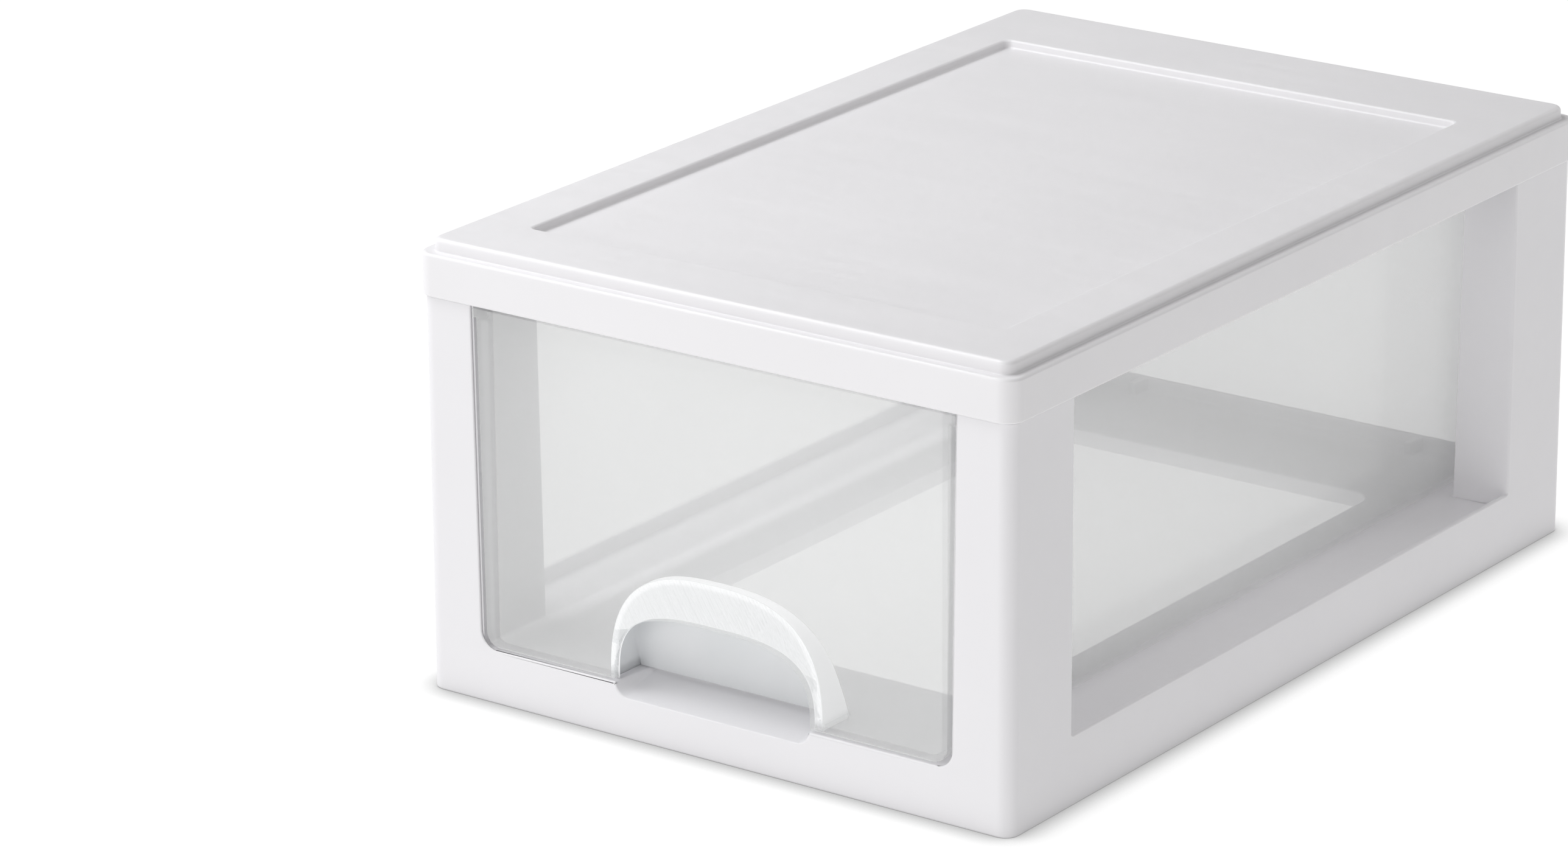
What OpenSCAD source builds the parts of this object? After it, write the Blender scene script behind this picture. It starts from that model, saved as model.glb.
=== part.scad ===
// Stackable shoe drawer: a white open case with large windows and a clear drawer.
// The origin is the centre of the base at floor level. The drawer pulls out along -Y.
// All sizes are millimetres.

/* [Case] */
// Width across the collar
case_w = 240; // [200:5:320]
// Depth over the collar, front to back
case_d = 360; // [300:5:420]
// Height from the floor to the top of the stacking rim
case_h = 160; // [130:5:220]
// Radius of the collar's upright corners
corner_r = 6.5; // [5:0.5:10]
// Thickness of the moulded white walls
wall = 2; // [1.6:0.1:2.2]
// How far the body's faces sit behind the collar's
body_inset = 1.2; // [1:0.1:1.4]

/* [Top cover] */
// Height of the collar band
collar_h = 15; // [12:0.5:20]
// Height of the raised stacking rim above the collar
rim_h = 4.5; // [3:0.1:4.6]
// How far the stacking rim sits behind the collar's faces
rim_inset = 3.6; // [3.6:0.1:5]
// Width of the stacking rim's flat top at the two sides
rim_side = 24.5; // [20:0.5:30]
// Distance from the front collar face to the sunken panel
panel_front = 31; // [25:0.5:45]
// Distance from the rear collar face to the sunken panel
panel_rear = 44; // [25:0.5:50]
// Depth of the sunken panel below the rim's top
panel_depth = 3; // [2:0.1:3.4]

/* [Base frame] */
// Height of the side and rear rails
rail_h = 24.4; // [23:0.2:30]
// Top of the front rail and of the ledge that the drawer slides on
ledge_z = 19.2; // [18.6:0.1:21]
// Half the width of the drawer bay at its top
bay_half_top = 97.8; // [97.8:0.1:98.4]
// Half the width of the drawer bay at its bottom
bay_half_foot = 96.3; // [96.2:0.1:97.2]
// Depth of the front posts
front_post_d = 37; // [30:1:45]
// Depth of the rear posts
rear_post_d = 41; // [30:1:50]
// Half the width of the open centre of the base
centre_half_w = 72; // [50:1:80]
// Distance from the collar faces to the open centre, front and rear
centre_end = 56; // [54:1:80]

/* [Finger notch] */
// Half the width of the notch in the front rail
notch_half = 39.5; // [35:0.5:42]
// Height of the notch's floor at the front face
notch_z = 14.4; // [13:0.1:15]
// How far the notch's floor runs back while it rises to the ledge
notch_run = 22; // [18:1:26]

/* [Drawer] */
// Half the width over the bin's side walls
bin_half = 92.5; // [88:0.5:93]
// Thickness of the clear walls
clear_wall = 2; // [1.6:0.1:2.4]
// Distance from the rear collar face to the bin's rear wall
bin_rear_gap = 12; // [10:1:16]
// Gap between the front panel and the bay, at each side
panel_gap = 2.2; // [1.5:0.1:3]
// Clearance under the bin and over its rim
slide_gap = 0.4; // [0.3:0.1:0.6]
// Height of the turned rim round the bin's top
rim_band = 4.5; // [3:0.5:6]
// Reach of the turned rim beyond the side walls
rim_reach = 4.2; // [3:0.1:4.4]
// Travel from shut to the stop
travel = 280; // [200:5:300]

/* [Finger pull] */
// Half the width of the arched opening in the front panel, at its foot
lip_half = 40; // [36:0.5:40]
// Height of the arched opening's crown above the floor
lip_top = 46; // [42:0.5:50]
// Half the width of the pocket behind the panel, at its foot
pocket_half = 43.5; // [42:0.5:48]
// Height of the pocket's crown above the floor
pocket_top = 61; // [56:0.5:66]
// Depth of the pocket at its crown, from the front panel's face
pocket_top_d = 8.2; // [8.2:0.2:10]
// Depth of the pocket at its foot, from the front panel's face
pocket_foot_d = 18.5; // [14:0.5:22]

/* [Hidden] */
$fn = 64;
over = 1;
seam = 0.01;
fit_gap = 0.2;
collar_z = case_h - rim_h - collar_h;
collar_top = case_h - rim_h;
front_y = -case_d / 2;
rear_y = case_d / 2;
body_w = case_w - 2 * body_inset;
body_d = case_d - 2 * body_inset;
body_r = corner_r - body_inset;
body_front = front_y + body_inset;
body_rear = rear_y - body_inset;
inner_w = body_w - 2 * wall;
inner_d = body_d - 2 * wall;
inner_r = body_r - wall;
panel_r = 3;
rim_r = corner_r - 2;
// The posts end in plugs that stand inside the collar, between guide ribs.
plug_spare = 3;
plug_top = collar_top - wall - plug_spare;
guide_z = collar_z + plug_spare;
plug_inset = wall - body_inset + fit_gap;
// Windows and ledge
side_window_front = front_y + front_post_d;
side_window_rear = rear_y - rear_post_d;
centre_d = case_d - 2 * centre_end;
centre_r = 8;
ledge_under = ledge_z - wall;
stiffener_h = 4;
rib_t = 1.6;
// Rounded corners at the foot of the drawer bay
bay_r = 6.5;
ledge_r = 1;
notch_r = 5;
notch_spare = 12;
notch_rise = atan((ledge_z - notch_z) / notch_run);
// Drawer
bin_floor = ledge_z + slide_gap;
bin_top = collar_z - 2 * slide_gap - fit_gap;
bin_rear = rear_y - bin_rear_gap;
bin_r = 8;
bin_foot_r = 5;
front_t = 2.4;
front_face = body_front + slide_gap;
front_back = front_face + front_t;
front_foot_gap = 1;
front_foot = ledge_z + front_foot_gap;
bead_h = 3.2;
bead_out = 0.35;
bead_gap = 0.7;
// Stops: lugs on the drawer's rear wall meet ribs that hang inside the cover.
lug_x = 46;
lug_w = 26;
lug_h = 5.5;
lug_t = 3;
stop_gap = 0.5;
stop_y = bin_rear - lug_t - travel - stop_gap;
stop_t = 2;
stop_z = collar_z + slide_gap + over;
rest_rib_x = 60;
rest_rib_t = 3;
// Finger pull
pocket_t = 1.8;
pull_face_t = 0.8;
pull_foot = bin_floor;
lip_power = 3.1;
pocket_power = 2.7;
arch_steps = 40;

// A slab with upright rounded corners, standing on z = 0
module slab(w, d, h, r) {
    linear_extrude(h) {
        square([w - 2 * r, d], center = true);
        square([w, d - 2 * r], center = true);
        for (x = [-1, 1], y = [-1, 1])
            translate([x * (w / 2 - r), y * (d / 2 - r)])
                circle(r);
    }
}

// A box given by its lowest and highest corners
module span(low, high) {
    translate(low)
        cube(high - low);
}

// Points of an arch that stands on z = 0: a curve between an ellipse and a rectangle
function arch_points(half, height, power) = [
    for (i = [0 : arch_steps])
        let (a = 180 * i / arch_steps, c = cos(a), s = sin(a))
        [half * sign(c) * pow(abs(c), 2 / power), height * pow(abs(s), 2 / power)]
];

// An arch standing on height foot and running from y0 back to y1
module arch(half, foot, top, power, y0, y1) {
    translate([0, y1, foot])
        rotate([90, 0, 0])
            linear_extrude(y1 - y0)
                polygon(arch_points(half, top - foot, power));
}

// The four post positions: sign of x, and the post's front and rear limits
module at_posts() {
    for (side = [-1, 1]) {
        $side = side;
        $post_low = front_y - over;
        $post_high = side_window_front;
        children();
    }
    for (side = [-1, 1]) {
        $side = side;
        $post_low = side_window_rear;
        $post_high = rear_y + over;
        children();
    }
}

// The block that bounds one post in plan, shrunk by less at its window face
module post_block(inner_x, less, z0, z1) {
    low_y = $post_low < 0 ? $post_low : $post_low + less;
    high_y = $post_high > 0 ? $post_high : $post_high - less;
    x0 = $side > 0 ? inner_x : -case_w / 2;
    x1 = $side > 0 ? case_w / 2 : -inner_x;
    span([x0, low_y, z0], [x1, high_y, z1]);
}

// Posts with the body's outline below the collar and a slimmer plug inside it
module posts() {
    at_posts() {
        intersection() {
            translate([0, 0, ledge_under])
                slab(body_w, body_d, collar_z - ledge_under, body_r);
            post_block(bay_half_foot - over, 0, 0, case_h);
        }
        intersection() {
            translate([0, 0, collar_z - over])
                slab(body_w - 2 * plug_inset, body_d - 2 * plug_inset,
                     plug_top - collar_z + over, body_r - plug_inset);
            post_block(bay_half_foot - over, 0, 0, case_h);
        }
    }
}

// The space inside each post, open below
module post_hollows() {
    at_posts()
        intersection() {
            translate([0, 0, -over])
                slab(inner_w - 2 * plug_inset, inner_d - 2 * plug_inset,
                     plug_top - wall + over, inner_r - plug_inset);
            post_block(bay_half_top + wall, wall, -over, plug_top);
        }
}

// Half the width of the drawer bay at height z
function bay_half(z) = bay_half_foot
    + (bay_half_top - bay_half_foot) * (z - ledge_z) / (collar_z - ledge_z);

// A prism along Y between heights foot and top, with lower edges of radius r
module prism(half_foot, half_top, foot, top, r, y0, y1) {
    translate([0, y1, 0])
        rotate([90, 0, 0])
            linear_extrude(y1 - y0) {
                polygon([
                    [-half_foot, foot + r], [half_foot, foot + r],
                    [half_top, top], [-half_top, top]
                ]);
                translate([-half_foot + r, foot])
                    square([2 * (half_foot - r), r + seam]);
                for (x = [-1, 1])
                    translate([x * (half_foot - r), foot + r])
                        circle(r);
            }
}

// A prism on the bay's outline, narrower by less
module bay(less, foot, top, r, y0, y1) {
    prism(bay_half(foot) - less, bay_half(top) - less, foot, top, r, y0, y1);
}

// Notch outline in the front rail, pushed back along a rising line
module notch_prism(grow) {
    translate([0, body_front, notch_z])
        rotate([90 + notch_rise, 0, 0])
            translate([0, 0, -notch_run - notch_spare])
                linear_extrude(notch_run + 2 * notch_spare) {
                    translate([-notch_half - grow, notch_r])
                        square([2 * (notch_half + grow), rail_h]);
                    translate([-notch_half + notch_r, -grow])
                        square([2 * (notch_half - notch_r), rail_h]);
                    for (x = [-1, 1])
                        translate([x * (notch_half - notch_r), notch_r])
                            circle(notch_r + grow);
                }
}

// Skirt all round with the ledge that the drawer slides on
module skirt_and_ledge() {
    difference() {
        slab(body_w, body_d, rail_h, body_r);
        translate([0, 0, -over])
            slab(inner_w, inner_d, ledge_under + over, inner_r);
        translate([0, 0, ledge_z])
            slab(inner_w, inner_d, rail_h, inner_r);
        translate([0, 0, ledge_under - over])
            slab(2 * centre_half_w, centre_d, wall + 2 * over, centre_r);
    }
}

// Down-turned edge round the open centre, and ribs under the ledge
module ledge_stiffeners() {
    difference() {
        translate([0, 0, ledge_under - stiffener_h])
            slab(2 * (centre_half_w + wall), centre_d + 2 * wall, stiffener_h, centre_r + wall);
        translate([0, 0, ledge_under - stiffener_h - over])
            slab(2 * centre_half_w, centre_d, stiffener_h + 2 * over, centre_r);
    }
    rib_x = centre_half_w + wall / 2;
    rib_y = centre_d / 2 + wall / 2;
    side_reach = inner_w / 2 + wall / 2 - rib_x;
    end_reach = inner_d / 2 + wall / 2 - rib_y;
    for (side = [-1, 1], step = [-2 : 2])
        translate([side > 0 ? rib_x : -rib_x - side_reach, step * centre_d / 5 - rib_t / 2,
                   ledge_under - stiffener_h])
            cube([side_reach, rib_t, stiffener_h]);
    for (x = [-rest_rib_x, rest_rib_x])
        translate([x - rib_t / 2, -rib_y - end_reach, ledge_under - stiffener_h])
            cube([rib_t, end_reach, stiffener_h]);
    for (x = [-rest_rib_x : 2 * rest_rib_x / 3 : rest_rib_x])
        translate([x - rib_t / 2, rib_y, ledge_under - stiffener_h])
            cube([rib_t, end_reach, stiffener_h]);
}

// Trough of even thickness under the finger notch
module notch_trough() {
    intersection() {
        notch_prism(wall);
        span([-notch_half - wall, body_front, notch_z - wall - over],
             [notch_half + wall, body_front + notch_run + wall, ledge_z]);
    }
}

// Two low blocks behind the drawer that it rests against when shut
module rest_ribs() {
    for (x = [-rest_rib_x, rest_rib_x])
        span([x - rest_rib_t / 2, bin_rear + stop_gap, ledge_z - wall / 2],
             [x + rest_rib_t / 2, body_rear - wall / 2, rail_h]);
}

module base_frame() {
    color([0.93, 0.93, 0.935])
        difference() {
            union() {
                skirt_and_ledge();
                ledge_stiffeners();
                notch_trough();
                posts();
            }
            post_hollows();
            bay(0, ledge_z, case_h, bay_r, front_y - over, body_front + wall);
            bay(0, ledge_z, case_h, ledge_r, body_front + wall / 2, body_rear - wall);
            bay(0, rail_h, case_h, ledge_r, body_rear - wall - over, rear_y + over);
            notch_prism(0);
        }
    color([0.93, 0.93, 0.935])
        rest_ribs();
}

// Ribs that hug the inner faces of each post's plug
module plug_guides() {
    at_posts() {
        front = $post_low < 0;
        face_x = bay_half_top - fit_gap;
        face_y = front ? $post_high + fit_gap : $post_low - fit_gap;
        x0 = $side > 0 ? face_x - rib_t : -face_x;
        end_y = front ? front_y + wall / 2 : rear_y - wall / 2;
        span([x0, min(face_y, end_y), guide_z],
             [x0 + rib_t, max(face_y, end_y), collar_top - wall / 2]);
        y0 = front ? face_y : face_y - rib_t;
        edge_x = case_w / 2 - wall / 2;
        span([$side > 0 ? face_x - rib_t : -edge_x, y0, guide_z],
             [$side > 0 ? edge_x : -face_x + rib_t, y0 + rib_t, collar_top - wall / 2]);
    }
}

module top_cover() {
    panel_w = case_w - 2 * rim_side;
    panel_d = case_d - panel_front - panel_rear;
    panel_y = (panel_front - panel_rear) / 2;
    panel_z = case_h - panel_depth;
    rim_w = case_w - 2 * rim_inset;
    rim_d = case_d - 2 * rim_inset;
    color([0.94, 0.94, 0.945]) {
        difference() {
            union() {
                translate([0, 0, collar_z])
                    slab(case_w, case_d, collar_h, corner_r);
                translate([0, 0, collar_top - over])
                    slab(rim_w, rim_d, rim_h + over, rim_r);
            }
            // Hollow of the collar, then of the rim round the sunken panel
            translate([0, 0, collar_z - over])
                slab(case_w - 2 * wall, case_d - 2 * wall, collar_h - wall + over, corner_r - wall);
            difference() {
                translate([0, 0, collar_z])
                    slab(rim_w - 2 * wall, rim_d - 2 * wall, case_h - collar_z - wall, rim_r - wall);
                translate([0, panel_y, panel_z - wall])
                    slab(panel_w + 2 * wall, panel_d + 2 * wall, wall + over, panel_r + wall);
            }
            translate([0, panel_y, panel_z])
                slab(panel_w, panel_d, panel_depth + over, panel_r);
        }
        plug_guides();
        // Stop ribs for the drawer's lugs
        for (x = [-lug_x, lug_x])
            span([x - lug_w / 2, stop_y - stop_t, stop_z],
                 [x + lug_w / 2, stop_y, panel_z - wall / 2]);
    }
}

// Solid of the bin's outline, smaller all round by less, up to height top
module bin_block(less, top) {
    half = bin_half - less;
    rear = bin_rear - less;
    front = front_back - front_t / 2;
    r = bin_r - less;
    intersection() {
        linear_extrude(top) {
            translate([-half, front])
                square([2 * half, rear - r - front]);
            translate([-half + r, 0])
                square([2 * (half - r), rear]);
            for (x = [-1, 1])
                translate([x * (half - r), rear - r])
                    circle(r);
        }
        prism(half, half, bin_floor + less, top, bin_foot_r - less, front, rear);
    }
}

// Front panel, drafted like the bay and cut out under the arched lip
module front_panel() {
    bead_half = bay_half(bin_top - bead_h) - bead_gap;
    difference() {
        union() {
            bay(panel_gap, front_foot, bin_top, bay_r - front_foot_gap, front_face, front_back);
            // Thickened edge along the top
            span([-bead_half, front_face - bead_out, bin_top - bead_h],
                 [bead_half, front_back, bin_top]);
        }
        arch(lip_half, front_foot - over, lip_top, lip_power, front_face - over, front_back + over);
    }
}

// Space that the finger pull takes out of the bin
module pull_space(grow) {
    intersection() {
        arch(pocket_half + grow, pull_foot - over, pocket_top + grow, pocket_power,
             front_face - over, front_face + pocket_foot_d + 2 * over);
        pull_wedge(grow);
    }
}

// Side view of the pocket: deep at its foot and shallow at its crown
module pull_wedge(grow) {
    half = pocket_half + 2 * over;
    translate([-half, 0, 0])
        rotate([90, 0, 90])
            linear_extrude(2 * half)
                polygon([
                    [front_face - over, pull_foot - over],
                    [front_face + pocket_foot_d + grow, pull_foot - over],
                    [front_face + pocket_foot_d + grow, pull_foot],
                    [front_face + pocket_top_d + grow, pocket_top],
                    [front_face + pocket_top_d + grow, pocket_top + 2 * over],
                    [front_face - over, pocket_top + 2 * over]
                ]);
}

module drawer_bin() {
    rim_half = bin_half + rim_reach;
    color([0.86, 0.9, 0.9, 0.35]) {
        difference() {
            union() {
                difference() {
                    bin_block(0, bin_top);
                    bin_block(clear_wall, case_h);
                }
                // Turned rim along both sides, with its underside open
                for (side = [0, 1])
                    mirror([side, 0, 0])
                        difference() {
                            span([bin_half - clear_wall / 2, front_back - over, bin_top - rim_band],
                                 [rim_half, bin_rear - bin_r, bin_top]);
                            span([bin_half, front_back + clear_wall, bin_top - rim_band - over],
                                 [rim_half - clear_wall, bin_rear - bin_r - clear_wall,
                                  bin_top - clear_wall]);
                        }
                // Stop lugs on the rear wall
                for (x = [-lug_x, lug_x])
                    span([x - lug_w / 2, bin_rear - lug_t, bin_top - lug_h],
                         [x + lug_w / 2, bin_rear, bin_top + lug_h]);
            }
            pull_space(0);
        }
        front_panel();
    }
}

module finger_pull() {
    color([0.93, 0.94, 0.95, 0.8])
        difference() {
            intersection() {
                pull_space(0);
                span([-pocket_half, front_back, pull_foot],
                     [pocket_half, front_face + pocket_foot_d, pocket_top]);
            }
            // The space behind the face, then the arched mouth in the face
            intersection() {
                arch(pocket_half - pocket_t, pull_foot - 2 * over, pocket_top - pocket_t,
                     pocket_power, front_back + pull_face_t, front_face + pocket_foot_d);
                translate([0, -pocket_t, 0])
                    pull_wedge(0);
            }
            arch(lip_half, front_foot - over, lip_top, lip_power,
                 front_back - over, front_back + pull_face_t + over);
        }
}

base_frame();
top_cover();
drawer_bin();
finger_pull();
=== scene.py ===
"""A stackable shoe drawer: white moulded case and cover, clear drawer, frosted finger pull.

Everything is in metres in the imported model's frame: +Z up, the drawer's front towards -Y.
"""

import math

import bmesh
import bpy
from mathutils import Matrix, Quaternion, Vector


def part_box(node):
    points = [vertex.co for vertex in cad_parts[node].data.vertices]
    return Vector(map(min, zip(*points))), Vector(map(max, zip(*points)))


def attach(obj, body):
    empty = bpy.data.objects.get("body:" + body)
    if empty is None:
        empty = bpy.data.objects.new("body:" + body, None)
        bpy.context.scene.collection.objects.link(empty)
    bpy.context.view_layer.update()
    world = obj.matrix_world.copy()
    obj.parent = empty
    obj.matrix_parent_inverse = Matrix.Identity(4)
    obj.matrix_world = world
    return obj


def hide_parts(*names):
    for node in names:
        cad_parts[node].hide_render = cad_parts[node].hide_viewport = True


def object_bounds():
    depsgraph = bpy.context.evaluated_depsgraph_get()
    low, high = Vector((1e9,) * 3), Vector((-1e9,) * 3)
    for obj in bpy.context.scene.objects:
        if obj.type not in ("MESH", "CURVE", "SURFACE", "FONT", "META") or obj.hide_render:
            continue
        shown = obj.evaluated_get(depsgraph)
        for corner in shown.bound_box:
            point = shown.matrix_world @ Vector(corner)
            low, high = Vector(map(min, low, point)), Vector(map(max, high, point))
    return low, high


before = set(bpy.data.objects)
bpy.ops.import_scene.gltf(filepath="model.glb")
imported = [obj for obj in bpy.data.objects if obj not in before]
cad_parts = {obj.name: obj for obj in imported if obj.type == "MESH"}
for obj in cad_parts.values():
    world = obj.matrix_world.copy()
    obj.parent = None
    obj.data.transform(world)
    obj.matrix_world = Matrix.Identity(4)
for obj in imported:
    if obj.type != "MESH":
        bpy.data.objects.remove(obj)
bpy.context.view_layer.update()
MM = 0.001
LOW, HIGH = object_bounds()
CENTRE = (LOW + HIGH) / 2

# ---------------------------------------------------------------- places read from the frame

FRAME_LOW, FRAME_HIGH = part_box("base_frame")
COVER_LOW, COVER_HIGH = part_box("top_cover")
BIN_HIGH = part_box("drawer_bin")[1]
PULL_LOW, PULL_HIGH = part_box("finger_pull")
WALL = 2 * MM

# ---------------------------------------------------------------- mesh helpers

WELD_DISTANCE = 2e-6
FLAT_ANGLE = math.radians(0.4)
SHARP_ANGLE = math.radians(28)
FLAT_FACE_WEIGHT = 60


def add_object(name, maker):
    """Turns a bmesh into an object in the scene, shaded smooth."""
    mesh = bpy.data.meshes.new(name)
    bmesh.ops.recalc_face_normals(maker, faces=maker.faces)
    for face in maker.faces:
        face.smooth = True
    maker.to_mesh(mesh)
    maker.free()
    made = bpy.data.objects.new(name, mesh)
    bpy.context.scene.collection.objects.link(made)
    return made


def keep_flats_flat(made):
    """Lets the flat faces set the shading, so that only the rounded strips look curved."""
    normals = made.modifiers.new("flat_faces", "WEIGHTED_NORMAL")
    normals.weight = FLAT_FACE_WEIGHT


def welded_copy(node_name):
    """A bmesh of a CAD node with its seams welded and its flat faces in few convex pieces."""
    maker = bmesh.new()
    maker.from_mesh(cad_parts[node_name].data)
    bmesh.ops.remove_doubles(maker, verts=maker.verts, dist=WELD_DISTANCE)
    bmesh.ops.dissolve_limit(maker, angle_limit=FLAT_ANGLE,
                             verts=maker.verts, edges=maker.edges)
    bmesh.ops.connect_verts_concave(maker, faces=maker.faces)
    return maker


def soften(maker, name, widest, radius_of, segments=3):
    """Rounds the sharp edges of a welded CAD mesh by radius_of(the middle of the edge)."""
    weight = maker.edges.layers.float.new("bevel_weight_edge")
    for edge in maker.edges:
        if len(edge.link_faces) == 2 and edge.calc_face_angle(0) > SHARP_ANGLE:
            middle = (edge.verts[0].co + edge.verts[1].co) / 2
            edge[weight] = min(radius_of(middle) / widest, 1)
    made = add_object(name, maker)
    bevel = made.modifiers.new("rounded_edges", "BEVEL")
    bevel.limit_method = "WEIGHT"
    bevel.width = widest
    bevel.segments = segments
    bevel.use_clamp_overlap = False
    bevel.miter_outer = "MITER_ARC"
    keep_flats_flat(made)
    return made


def rounded_path(corners, steps=5):
    """A path through corners (across, up, radius), with an arc wherever there is a radius."""
    path = []
    for i, (across, up, radius) in enumerate(corners):
        here = Vector((across, up))
        if not radius:
            path.append(here)
            continue
        before = (Vector(corners[i - 1][:2]) - here).normalized()
        after = (Vector(corners[i + 1][:2]) - here).normalized()
        half = before.angle(after) / 2
        centre = here + (before + after).normalized() * radius / math.sin(half)
        first = here + before * radius / math.tan(half) - centre
        last = here + after * radius / math.tan(half) - centre
        turn = first.angle_signed(last)
        for step in range(steps + 1):
            angle = -turn * step / steps
            path.append(centre + Vector((first.x * math.cos(angle) - first.y * math.sin(angle),
                                         first.x * math.sin(angle) + first.y * math.cos(angle))))
    return path


def corner_ring(low, high, inset, radius, z, steps=8):
    """Points round a rectangle with rounded corners, inset from the corners low and high."""
    reach = inset + radius
    corners = ((high.x - reach, low.y + reach, -90), (high.x - reach, high.y - reach, 0),
               (low.x + reach, high.y - reach, 90), (low.x + reach, low.y + reach, 180))
    return [(x + radius * math.cos(math.radians(start + 90 * i / steps)),
             y + radius * math.sin(math.radians(start + 90 * i / steps)), z)
            for x, y, start in corners for i in range(steps + 1)]


def loft(maker, rings):
    """Quads between successive closed rings, with both ends capped."""
    rows = [[maker.verts.new(point) for point in ring] for ring in rings]
    for near, far in zip(rows, rows[1:]):
        for i in range(len(near)):
            j = (i + 1) % len(near)
            maker.faces.new((near[i], near[j], far[j], far[i]))
    maker.faces.new(rows[0])
    maker.faces.new(rows[-1])


def add_block(maker, corner, opposite):
    """A plain block between two opposite corners, for a rib that a union welds into a wall."""
    low = Vector([min(pair) for pair in zip(corner, opposite)])
    size = Vector([max(pair) for pair in zip(corner, opposite)]) - low
    for vertex in bmesh.ops.create_cube(maker, size=1)["verts"]:
        vertex.co = low + Vector([size[i] * (vertex.co[i] + 0.5) for i in range(3)])


def weld_on(made, ribs):
    """Joins a bmesh of ribs to an object as one closed mesh. The ribs keep sharp edges."""
    other = add_object(made.name + "_ribs", ribs)
    union = made.modifiers.new("ribs", "BOOLEAN")
    union.operation = "UNION"
    union.solver = "EXACT"
    union.use_self = True
    union.object = other
    bpy.context.view_layer.update()
    evaluated = made.evaluated_get(bpy.context.evaluated_depsgraph_get())
    mesh = bpy.data.meshes.new_from_object(evaluated)
    made.modifiers.clear()
    made.data = mesh
    bpy.data.objects.remove(other)


# ---------------------------------------------------------------- white case

COLLAR_H = 15 * MM
PANEL_SIDE, PANEL_FRONT, PANEL_REAR = 24.5 * MM, 31 * MM, 44 * MM
PANEL_DEPTH = 3 * MM
RIM_INSET = 3.6 * MM
# A corner's radius where the inset is 0, and how much of it each metre of inset takes away
COLLAR_R, COLLAR_R_LOSS = 6.5 * MM, 0.555
PANEL_R, PANEL_R_LOSS = 3 * MM, 0.4
FRAME_FILLET, HIDDEN_FILLET = 0.7 * MM, 0.2 * MM
# A height between the two faces of the ledge, and the least rise that counts as inside the cover
LEDGE_MIDDLE, INTO_COVER = 18.5 * MM, 0.1 * MM

# Ribs inside the cover: guides for the posts' plugs and stops for the drawer's lugs
RIB_T, FIT_GAP = 1.6 * MM, 0.2 * MM
POST_FRONT, POST_REAR = COVER_LOW.y + 37 * MM, COVER_HIGH.y - 41 * MM
GUIDE_X, GUIDE_LIFT = 97.6 * MM, 3 * MM
STOP_X, STOP_W, STOP_T, STOP_LIFT = 46 * MM, 26 * MM, 2 * MM, 1.4 * MM
LUG_T, TRAVEL, STOP_GAP = 3 * MM, 280 * MM, 0.5 * MM
STOP_Y = BIN_HIGH.y - LUG_T - TRAVEL - STOP_GAP


def frame_edge(middle):
    """How far each edge of the base frame is rounded: less under the ledge and in the cover."""
    inside = (abs(middle.x) < FRAME_HIGH.x - WALL / 2
              and abs(middle.y) < FRAME_HIGH.y - WALL / 2)
    under_ledge = inside and middle.z < FRAME_LOW.z + LEDGE_MIDDLE
    in_cover = middle.z > COVER_LOW.z + INTO_COVER
    return HIDDEN_FILLET if under_ledge or in_cover else FRAME_FILLET


def make_base_frame():
    made = soften(welded_copy("base_frame"), "base_frame_moulding", FRAME_FILLET, frame_edge)
    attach(made, "case")
    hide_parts("base_frame")
    return made


def collar_rings(path):
    """Rings whose inset and height follow a path round the collar."""
    return [corner_ring(COVER_LOW, COVER_HIGH, point.x, COLLAR_R - COLLAR_R_LOSS * point.x,
                        point.y) for point in path]


def panel_rings(path):
    """Rings whose inset and height follow a path round the sunken panel."""
    low = COVER_LOW + Vector((PANEL_SIDE, PANEL_FRONT, 0))
    high = COVER_HIGH - Vector((PANEL_SIDE, PANEL_REAR, 0))
    return [corner_ring(low, high, point.x, PANEL_R - PANEL_R_LOSS * point.x, point.y)
            for point in path]


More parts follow.
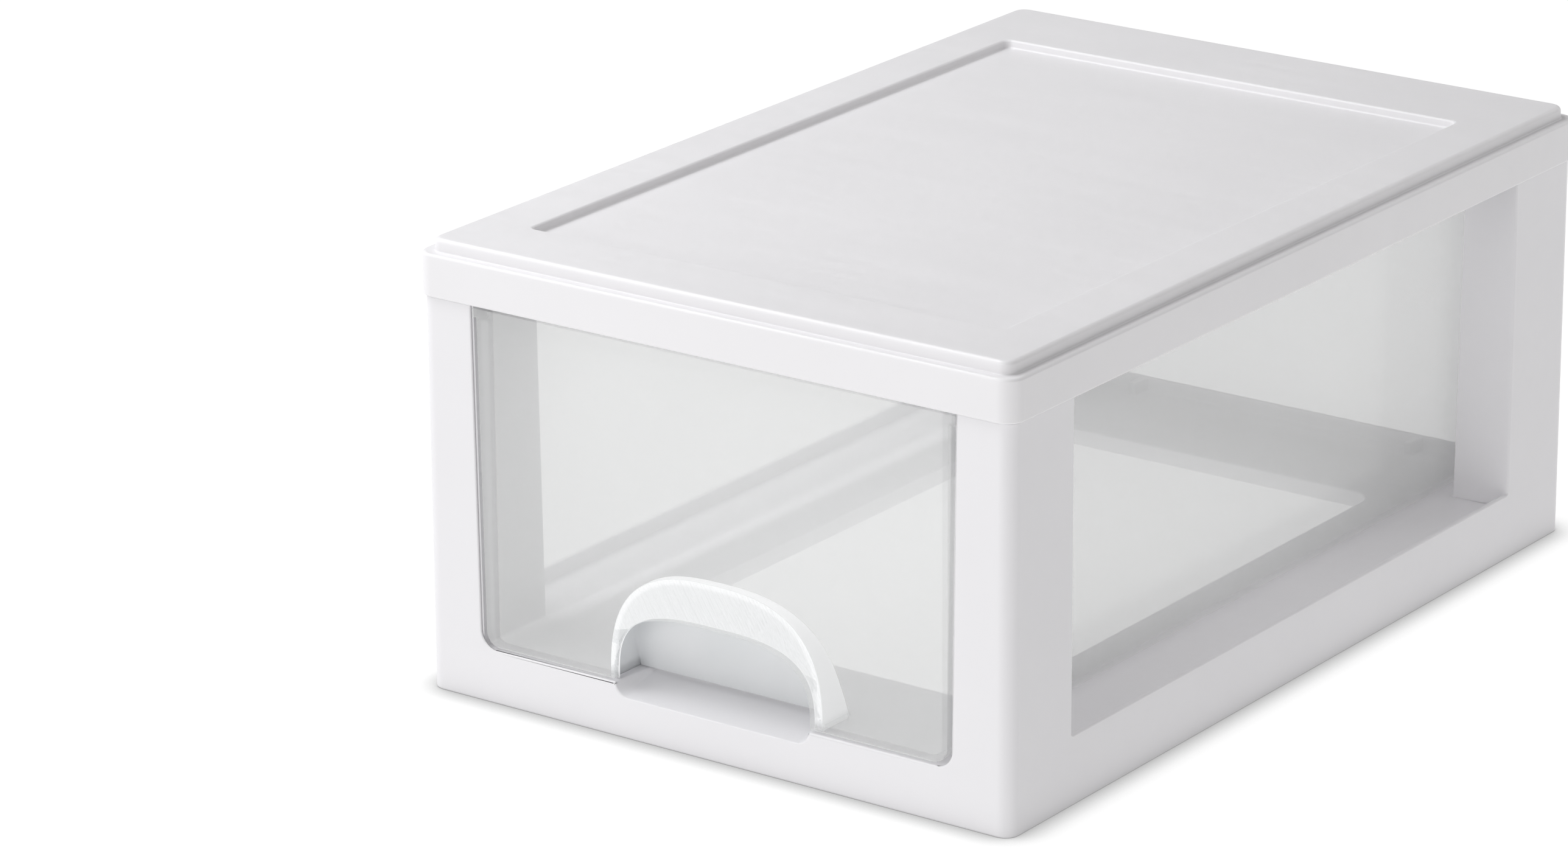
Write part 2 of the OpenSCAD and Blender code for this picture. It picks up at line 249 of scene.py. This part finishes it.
def make_top_cover():
    """Sunken panel, stacking rim, ledge and collar as one shell of even thickness."""
    top = COVER_HIGH.z
    panel = top - PANEL_DEPTH
    foot = COVER_LOW.z
    shoulder = foot + COLLAR_H
    flat = 4 * MM
    upper = panel_rings(rounded_path([
        (flat, panel, 0), (0.45 * MM, panel, 0.8 * MM), (0, top, 1.0 * MM), (-flat, top, 0)]))
    outer = collar_rings(rounded_path([
        (RIM_INSET + flat, top, 0), (RIM_INSET + 0.2 * MM, top, 1.6 * MM),
        (RIM_INSET, shoulder, 0.5 * MM), (0, shoulder, 1.1 * MM), (0, foot, 0.6 * MM),
        (WALL, foot, 0.3 * MM), (WALL, shoulder - WALL, 0.6 * MM),
        (RIM_INSET + WALL, shoulder - WALL, 0.5 * MM), (RIM_INSET + WALL, top - WALL, 0.6 * MM),
        (RIM_INSET + WALL + flat, top - WALL, 0)]))
    lower = panel_rings(rounded_path([
        (-WALL - flat, top - WALL, 0), (-WALL, top - WALL, 0.6 * MM),
        (-WALL, panel - WALL, 0.6 * MM), (flat, panel - WALL, 0)]))
    maker = bmesh.new()
    loft(maker, upper + outer + lower)
    made = add_object("top_cover_moulding", maker)
    ribs = bmesh.new()
    guide_top, guide_foot = shoulder - WALL / 2, foot + GUIDE_LIFT
    edge_x, edge_y = COVER_HIGH.x - WALL / 2, COVER_HIGH.y - WALL / 2
    for side in (-1, 1):
        inner_x = side * (GUIDE_X - RIB_T)
        for end, face_y in ((-1, POST_FRONT + FIT_GAP), (1, POST_REAR - FIT_GAP)):
            far_y = face_y - end * RIB_T
            add_block(ribs, (inner_x, far_y, guide_foot), (side * GUIDE_X, end * edge_y, guide_top))
            add_block(ribs, (inner_x, face_y, guide_foot), (side * edge_x, far_y, guide_top))
        add_block(ribs, (side * STOP_X - STOP_W / 2, STOP_Y - STOP_T, foot + STOP_LIFT),
                  (side * STOP_X + STOP_W / 2, STOP_Y, panel - WALL / 2))
    weld_on(made, ribs)
    keep_flats_flat(made)
    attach(made, "case")
    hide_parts("top_cover")
    return made


# ---------------------------------------------------------------- drawer

BIN_FILLET = 0.2 * MM
PANEL_T = 2.4 * MM
LIP_HALF, LIP_TOP, LIP_POWER = 40 * MM, 46 * MM, 3.1
POCKET_POWER = 2.7
POCKET_TOP_DEPTH, POCKET_FOOT_DEPTH = 8.2 * MM, 18.5 * MM
POCKET_T, FACE_T = 1.8 * MM, 0.8 * MM
# The bend between the pocket's side and back: at its foot, in full, and over what height it grows
BEND_FOOT, BEND_FULL, BEND_RISE = 1.9 * MM, 3.6 * MM, 12 * MM
PULL_SOFT = 0.25 * MM
# Insets of two extra rows on the front face, where the painted highlight fades
FACE_ROWS = (1.6 * MM, 2.5 * MM)
ARCH_STEPS, BEND_STEPS = 64, 6
TANGENT_STEP = 0.004
# The mesh layer that marks where the pull's painted highlight goes
PAINTED_HIGHLIGHT_LAYER = "painted_highlight"
# Rows of the pull that carry the full painted highlight, counted from its outer back, and those
# that carry less of it
HIGHLIGHT_ROWS, FULL_HIGHLIGHT = slice(4, 14), 1.0
DIMMER_HIGHLIGHT_ROWS, DIMMER_HIGHLIGHT = slice(10, 12), 0.75


def make_drawer_bin():
    made = soften(welded_copy("drawer_bin"), "drawer_bin_moulding", BIN_FILLET,
                  lambda middle: BIN_FILLET)
    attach(made, "drawer")
    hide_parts("drawer_bin")
    return made


def arch_point(half, top, foot, power, turn):
    """A point at turn (0 to 1) along an arch that is between an ellipse and a rectangle."""
    c, s = math.cos(math.pi * turn), math.sin(math.pi * turn)
    return Vector((math.copysign(half * abs(c) ** (2 / power), c),
                   foot + (top - foot) * abs(s) ** (2 / power)))


def pocket_point(turn, inset):
    """A point of the pocket's outline, moved inwards at right angles to it."""
    shape = (PULL_HIGH.x, PULL_HIGH.z, PULL_LOW.z, POCKET_POWER)
    here = arch_point(*shape, turn)
    along = (arch_point(*shape, min(turn + TANGENT_STEP, 1))
             - arch_point(*shape, max(turn - TANGENT_STEP, 0))).normalized()
    if turn in (0, 1):
        along = Vector((0, 1)) if turn == 0 else Vector((0, -1))
    return here + Vector((-along.y, along.x)) * inset


def make_finger_pull():
    """Frosted pocket: a thin arched face behind the front panel and a sloping rounded back."""
    front = PULL_LOW.y
    face = front - PANEL_T
    slope = (POCKET_TOP_DEPTH - POCKET_FOOT_DEPTH) / (PULL_HIGH.z - PULL_LOW.z)

    def back(z, lift):
        return face + POCKET_FOOT_DEPTH + slope * (z - PULL_LOW.z) - lift

    def column(inset, lift, turn):
        """A point near the back: inset from the outline and lifted off the back plane."""
        point = pocket_point(turn, inset)
        return (point.x, back(point.y, lift), point.y)

    def at(inset, y, turn):
        point = pocket_point(turn, inset)
        return (point.x, y, point.y)

    def lip(grow, y, turn):
        point = arch_point(LIP_HALF + grow, LIP_TOP + grow, PULL_LOW.z, LIP_POWER, turn)
        return (point.x, y, point.y)

    def bend(turn):
        """The radius between the side and the back, which is small at the feet."""
        height = (pocket_point(turn, 0).y - PULL_LOW.z) / BEND_RISE
        return BEND_FOOT + (BEND_FULL - BEND_FOOT) * min(height, 1)

    columns = []
    turns = [i / ARCH_STEPS for i in range(ARCH_STEPS + 1)]
    quarter = [math.pi / 2 * i / BEND_STEPS for i in range(BEND_STEPS + 1)]
    for a in quarter:
        columns.append([column(bend(t) * (1 - math.sin(a)), bend(t) * (1 - math.cos(a)), t)
                        for t in turns])
    soft = PULL_SOFT
    columns.append([at(0, front + soft, t) for t in turns])
    columns.append([at(soft, front, t) for t in turns])
    for inset in FACE_ROWS:
        columns.append([at(inset, front, t) for t in turns])
    columns.append([lip(soft, front, t) for t in turns])
    columns.append([lip(0, front + soft, t) for t in turns])
    columns.append([lip(0, front + FACE_T - soft, t) for t in turns])
    columns.append([lip(soft, front + FACE_T, t) for t in turns])
    columns.append([at(POCKET_T + soft, front + FACE_T, t) for t in turns])
    columns.append([at(POCKET_T, front + FACE_T + soft, t) for t in turns])
    for a in reversed(quarter):
        columns.append([column(POCKET_T + (bend(t) - POCKET_T) * (1 - math.sin(a)),
                               POCKET_T + (bend(t) - POCKET_T) * (1 - math.cos(a)), t)
                        for t in turns])
    maker = bmesh.new()
    highlight_layer = maker.verts.layers.float.new(PAINTED_HIGHLIGHT_LAYER)
    rows = [[maker.verts.new(point) for point in points] for points in columns]
    for which, amount in ((HIGHLIGHT_ROWS, FULL_HIGHLIGHT), (DIMMER_HIGHLIGHT_ROWS, DIMMER_HIGHLIGHT)):
        for row in rows[which]:
            for vertex in row:
                vertex[highlight_layer] = amount
    for near, far in zip(rows, rows[1:]):
        for i in range(ARCH_STEPS):
            maker.faces.new((near[i], near[i + 1], far[i + 1], far[i]))
    maker.faces.new(rows[0])
    maker.faces.new(rows[-1])
    maker.faces.new([row[0] for row in rows] + [row[-1] for row in reversed(rows)])
    made = add_object("finger_pull_moulding", maker)
    keep_flats_flat(made)
    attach(made, "drawer")
    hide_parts("finger_pull")
    return made


# ---------------------------------------------------------------- materials

CASE_COLOURS = (0.802, 0.794, 0.812), (0.782, 0.774, 0.792)
COVER_COLOURS = (0.806, 0.797, 0.812), (0.786, 0.777, 0.792)
CLEAR_COLOURS = (0.735, 0.742, 0.738), (0.715, 0.721, 0.717)
FROSTED_COLOURS = (0.79, 0.80, 0.81), (0.76, 0.775, 0.785)
# Painted highlight on the pull's ridge and lip: its colour and its emission glow
PAINTED_HIGHLIGHT_COLOUR, PAINTED_GLOW = (0.96, 0.96, 0.965), 0.27
POLYPROPYLENE_IOR, POLYSTYRENE_IOR = 1.49, 1.58
# Painted shade in corners: the tone, strength and reach of the ambient-occlusion darkening
PAINTED_CORNER_SHADE, PAINTED_CORNER_SHADE_AMOUNT, PAINTED_CORNER_SHADE_REACH = 0.86, 0.2, 4 * MM
CLEAR_ALPHA = 0.30

def new_material(name):
    material = bpy.data.materials.new(name)
    material.use_nodes = True
    return material, material.node_tree, material.node_tree.nodes["Principled BSDF"]


def node(tree, kind, **settings):
    made = tree.nodes.new(kind)
    for key, value in settings.items():
        setattr(made, key, value)
    return made


def noise(tree, scale, detail=2.0, roughness=0.5, stretch=None):
    """3-D noise in the object's own metres, so its scale is in cycles per metre."""
    place = node(tree, "ShaderNodeTexCoord")
    vector = place.outputs["Object"]
    if stretch:
        mapping = node(tree, "ShaderNodeMapping")
        mapping.inputs["Scale"].default_value = stretch
        tree.links.new(vector, mapping.inputs["Vector"])
        vector = mapping.outputs["Vector"]
    made = node(tree, "ShaderNodeTexNoise")
    made.inputs["Scale"].default_value = scale
    made.inputs["Detail"].default_value = detail
    made.inputs["Roughness"].default_value = roughness
    tree.links.new(vector, made.inputs["Vector"])
    return made.outputs["Fac"]


def spread(tree, value, low, high, from_low=0.3, from_high=0.7):
    """Maps a noise value onto the range low to high."""
    made = node(tree, "ShaderNodeMapRange")
    made.inputs["From Min"].default_value = from_low
    made.inputs["From Max"].default_value = from_high
    made.inputs["To Min"].default_value = low
    made.inputs["To Max"].default_value = high
    tree.links.new(value, made.inputs["Value"])
    return made.outputs["Result"]


def mix_colour(tree, factor, first, second):
    made = node(tree, "ShaderNodeMix", data_type="RGBA")
    tree.links.new(factor, made.inputs["Factor"])
    for socket, colour in ((made.inputs["A"], first), (made.inputs["B"], second)):
        if isinstance(colour, tuple):
            socket.default_value = (*colour, 1)
        else:
            tree.links.new(colour, socket)
    return made.outputs["Result"]


def bump_chain(tree, shader, layers):
    """Stacks bump layers, each a height value and how many metres high it is."""
    normal = None
    for height, distance in layers:
        made = node(tree, "ShaderNodeBump")
        made.inputs["Strength"].default_value = 1.0
        made.inputs["Distance"].default_value = distance
        tree.links.new(height, made.inputs["Height"])
        if normal:
            tree.links.new(normal, made.inputs["Normal"])
        normal = made.outputs["Normal"]
    tree.links.new(normal, shader.inputs["Normal"])


def white_plastic(name, light, dark):
    """Satin moulded polypropylene: fine texture, faint cloudiness, scuffs, and painted shade
    darkening its corners.
    """
    material, tree, shader = new_material(name)
    cloud = spread(tree, noise(tree, 9, 3), 0, 1)
    colour = mix_colour(tree, cloud, light, dark)
    # Painted shade: the base colour is darkened wherever ambient occlusion finds corners, creases
    # and gaps
    corners = node(tree, "ShaderNodeAmbientOcclusion", samples=4)
    corners.inputs["Distance"].default_value = PAINTED_CORNER_SHADE_REACH
    corner_shade_mask = spread(tree, corners.outputs["AO"], 1, 0, 0.2, 0.9)
    corner_shade_colour = tuple(PAINTED_CORNER_SHADE * c for c in dark)
    corner_shade_weight = node(tree, "ShaderNodeMath", operation="MULTIPLY")
    tree.links.new(corner_shade_mask, corner_shade_weight.inputs[0])
    corner_shade_weight.inputs[1].default_value = PAINTED_CORNER_SHADE_AMOUNT
    tree.links.new(mix_colour(tree, corner_shade_weight.outputs[0], colour, corner_shade_colour), shader.inputs["Base Color"])
    scuffs = spread(tree, noise(tree, 14, 4, 0.6, stretch=(1, 9, 9)), -0.04, 0.07, 0.4, 0.75)
    satin = node(tree, "ShaderNodeMath", operation="ADD")
    tree.links.new(scuffs, satin.inputs[0])
    tree.links.new(spread(tree, noise(tree, 260, 2), 0.38, 0.48), satin.inputs[1])
    tree.links.new(satin.outputs[0], shader.inputs["Roughness"])
    shader.inputs["IOR"].default_value = POLYPROPYLENE_IOR
    shader.inputs["Subsurface Weight"].default_value = 0.15
    shader.inputs["Subsurface Radius"].default_value = (1.0, 0.97, 0.95)
    shader.inputs["Subsurface Scale"].default_value = 2.5 * MM
    bump_chain(tree, shader, [(noise(tree, 18, 1), 0.15 * MM),
                              (noise(tree, 1500, 3, 0.6), 0.012 * MM)])
    return material


def clear_plastic(name):
    """Milky see-through polystyrene with a trace of green and fine wiping scratches."""
    material, tree, shader = new_material(name)
    cloud = spread(tree, noise(tree, 11, 2), 0, 1)
    tree.links.new(mix_colour(tree, cloud, *CLEAR_COLOURS), shader.inputs["Base Color"])
    scratches = spread(tree, noise(tree, 60, 4, 0.7, stretch=(1, 14, 14)), 0.04, 0.14, 0.45, 0.8)
    tree.links.new(scratches, shader.inputs["Roughness"])
    shader.inputs["IOR"].default_value = POLYSTYRENE_IOR
    shader.inputs["Alpha"].default_value = CLEAR_ALPHA
    bump_chain(tree, shader, [(noise(tree, 14, 1), 0.12 * MM)])
    return material


def frosted_plastic(name):
    """Translucent plastic with a fine spark-eroded texture, with a painted highlight: whiter, more
    opaque and glowing on the marked rows.
    """
    material, tree, shader = new_material(name)
    cloud = spread(tree, noise(tree, 40, 2), 0, 1)
    inner = mix_colour(tree, cloud, *FROSTED_COLOURS)
    # Painted highlight: the marked rows are painted whiter, made more opaque and given an emission
    # glow
    edge = node(tree, "ShaderNodeAttribute", attribute_name=PAINTED_HIGHLIGHT_LAYER).outputs["Fac"]
    tree.links.new(mix_colour(tree, edge, inner, PAINTED_HIGHLIGHT_COLOUR), shader.inputs["Base Color"])
    tree.links.new(spread(tree, noise(tree, 700, 3), 0.36, 0.5), shader.inputs["Roughness"])
    shader.inputs["IOR"].default_value = POLYSTYRENE_IOR
    tree.links.new(spread(tree, edge, 0.86, 0.98, 0, 1), shader.inputs["Alpha"])
    shader.inputs["Emission Color"].default_value = (0.97, 0.98, 1.0, 1)
    tree.links.new(spread(tree, edge, 0.0, PAINTED_GLOW, 0, 1), shader.inputs["Emission Strength"])
    bump_chain(tree, shader, [(noise(tree, 1800, 3, 0.6), 0.02 * MM)])
    return material


def dress(piece, material):
    piece.data.materials.clear()
    piece.data.materials.append(material)


# ---------------------------------------------------------------- camera and light

CAMERA_AZIMUTH = 36.02
CAMERA_ELEVATION = 19.03
CAMERA_ROLL = -0.41
CAMERA_FROM_FRONT = Vector((1.160, -1.552, 0.785))
SENSOR = 36.0
LENS = 145.2
WORLD_LIGHT = 0.34
KEY_DIRECTION = Vector((-0.50, -0.28, 0.80))
KEY_DISTANCE = 1.15
KEY_SIZE = 0.8
KEY_POWER = 9.7
FILL_DIRECTION = Vector((0.0, -1.0, 0.25))
FILL_DISTANCE = 2.5
FILL_SIZE = 1.5
FILL_POWER = 16.5
BACK_DIRECTION = Vector((0.35, 1.0, 0.45))
BACK_DISTANCE = 2.0
BACK_SIZE = 1.2
BACK_POWER = 7
# Stands for daylight that the thin cover lets through
THROUGH_COVER_POWER = 0.15
THROUGH_COVER_SIZE = (0.18, 0.27)
THROUGH_COVER_LIFT = 1 * MM
FLOOR_HALF = 8
FLOOR_GLOW = 0.94
# Painted contact shadow: the floor's glow right beside the box, and how far the darkening reaches
PAINTED_CONTACT_SHADOW_GLOW = 0.25
PAINTED_CONTACT_SHADOW_REACH = 12 * MM


def make_camera():
    """The photograph's view: from the front right, a little above the box."""
    azimuth, elevation = math.radians(CAMERA_AZIMUTH), math.radians(CAMERA_ELEVATION)
    back = Vector((math.sin(azimuth) * math.cos(elevation),
                   -math.cos(azimuth) * math.cos(elevation), math.sin(elevation)))
    data = bpy.data.cameras.new("camera")
    data.lens = LENS
    data.sensor_width = SENSOR
    data.clip_end = 50
    camera = bpy.data.objects.new("camera", data)
    bpy.context.scene.collection.objects.link(camera)
    camera.rotation_mode = "QUATERNION"
    camera.location = CAMERA_FROM_FRONT + Vector((0, LOW.y, 0))
    turn = (-back).to_track_quat("-Z", "Y")
    camera.rotation_quaternion = turn @ Quaternion((0, 0, 1), math.radians(CAMERA_ROLL))
    bpy.context.scene.camera = camera


def area_light(name, direction, distance, size, power, tint=(1, 1, 1)):
    """A square soft box that looks at the object from direction."""
    data = bpy.data.lights.new(name, "AREA")
    data.shape = "SQUARE"
    data.size = size
    data.energy = power
    data.color = tint
    light = bpy.data.objects.new(name, data)
    light.location = CENTRE + direction.normalized() * distance
    light.rotation_mode = "QUATERNION"
    light.rotation_quaternion = (-direction).to_track_quat("-Z", "Y")
    bpy.context.scene.collection.objects.link(light)
    return light


def make_light():
    world = bpy.data.worlds.new("studio")
    bpy.context.scene.world = world
    world.use_nodes = True
    background = world.node_tree.nodes["Background"]
    background.inputs["Color"].default_value = (1, 0.99, 0.98, 1)
    background.inputs["Strength"].default_value = WORLD_LIGHT
    area_light("key", KEY_DIRECTION, KEY_DISTANCE, KEY_SIZE, KEY_POWER, (0.98, 0.99, 1))
    area_light("fill", FILL_DIRECTION, FILL_DISTANCE, FILL_SIZE, FILL_POWER)
    area_light("back", BACK_DIRECTION, BACK_DISTANCE, BACK_SIZE, BACK_POWER)
    lift = COVER_LOW.z + THROUGH_COVER_LIFT - CENTRE.z
    glow = area_light("through_cover", Vector((0, 0, 1)), lift, 1, THROUGH_COVER_POWER)
    glow.data.shape = "RECTANGLE"
    glow.data.size, glow.data.size_y = THROUGH_COVER_SIZE
    glow.visible_camera = False
    bpy.context.scene.view_settings.view_transform = "Standard"
    bpy.context.scene.cycles.transparent_max_bounces = 32
    bpy.context.scene.cycles.diffuse_bounces = 8


def make_floor():
    maker = bmesh.new()
    bmesh.ops.create_grid(maker, x_segments=1, y_segments=1, size=FLOOR_HALF)
    floor = add_object("floor", maker)
    material, tree, shader = new_material("floor_white")
    shader.inputs["Base Color"].default_value = (0.12, 0.12, 0.12, 1)
    shader.inputs["Roughness"].default_value = 0.95
    shader.inputs["Specular IOR Level"].default_value = 0.1
    shader.inputs["Emission Color"].default_value = (1, 1, 1, 1)
    # Painted contact shadow: the floor's glow is dimmed where ambient occlusion finds the box
    # nearby
    near = node(tree, "ShaderNodeAmbientOcclusion", samples=8)
    near.inputs["Distance"].default_value = PAINTED_CONTACT_SHADOW_REACH
    tree.links.new(spread(tree, near.outputs["AO"], PAINTED_CONTACT_SHADOW_GLOW, FLOOR_GLOW, 0.3, 0.95),
                   shader.inputs["Emission Strength"])
    floor.data.materials.append(material)


make_camera()
make_light()
make_floor()

dress(make_base_frame(), white_plastic("white_case", *CASE_COLOURS))
dress(make_top_cover(), white_plastic("white_cover", *COVER_COLOURS))
dress(make_drawer_bin(), clear_plastic("clear_polystyrene"))
dress(make_finger_pull(), frosted_plastic("frosted_polystyrene"))
